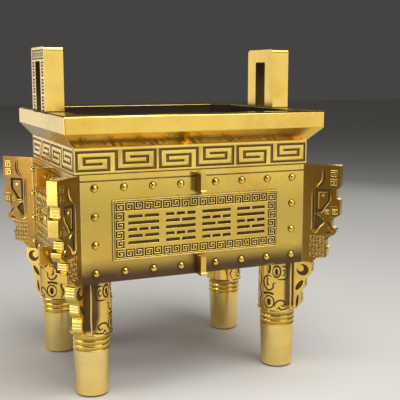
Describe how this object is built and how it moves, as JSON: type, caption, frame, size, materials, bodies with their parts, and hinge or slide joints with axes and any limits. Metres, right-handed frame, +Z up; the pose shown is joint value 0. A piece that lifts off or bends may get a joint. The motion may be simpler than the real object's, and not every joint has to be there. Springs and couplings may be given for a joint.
{
  "type": "rectangular brass ding ornament",
  "caption": "Rectangular cast brass ding ornament: open box body with flared rim, stepped corner flanges, round ringed legs and upright ears brazed on the rim.",
  "frame": {"origin": "on the ground under the middle of the vessel, level with the undersides of the feet", "axes": "+X along the long side towards the right ear, +Y towards the plain back, +Z up"},
  "size_m": [0.2612, 0.2066, 0.2884],
  "materials": {
    "polished_brass": "polished cast brass with fine hand-polishing streaks, dark brown patina left in the carving and inside"
  },
  "bodies": {
    "root": {"vessel": "polished_brass", "left_ear": "polished_brass", "right_ear": "polished_brass"}
  },
  "joints": []
}
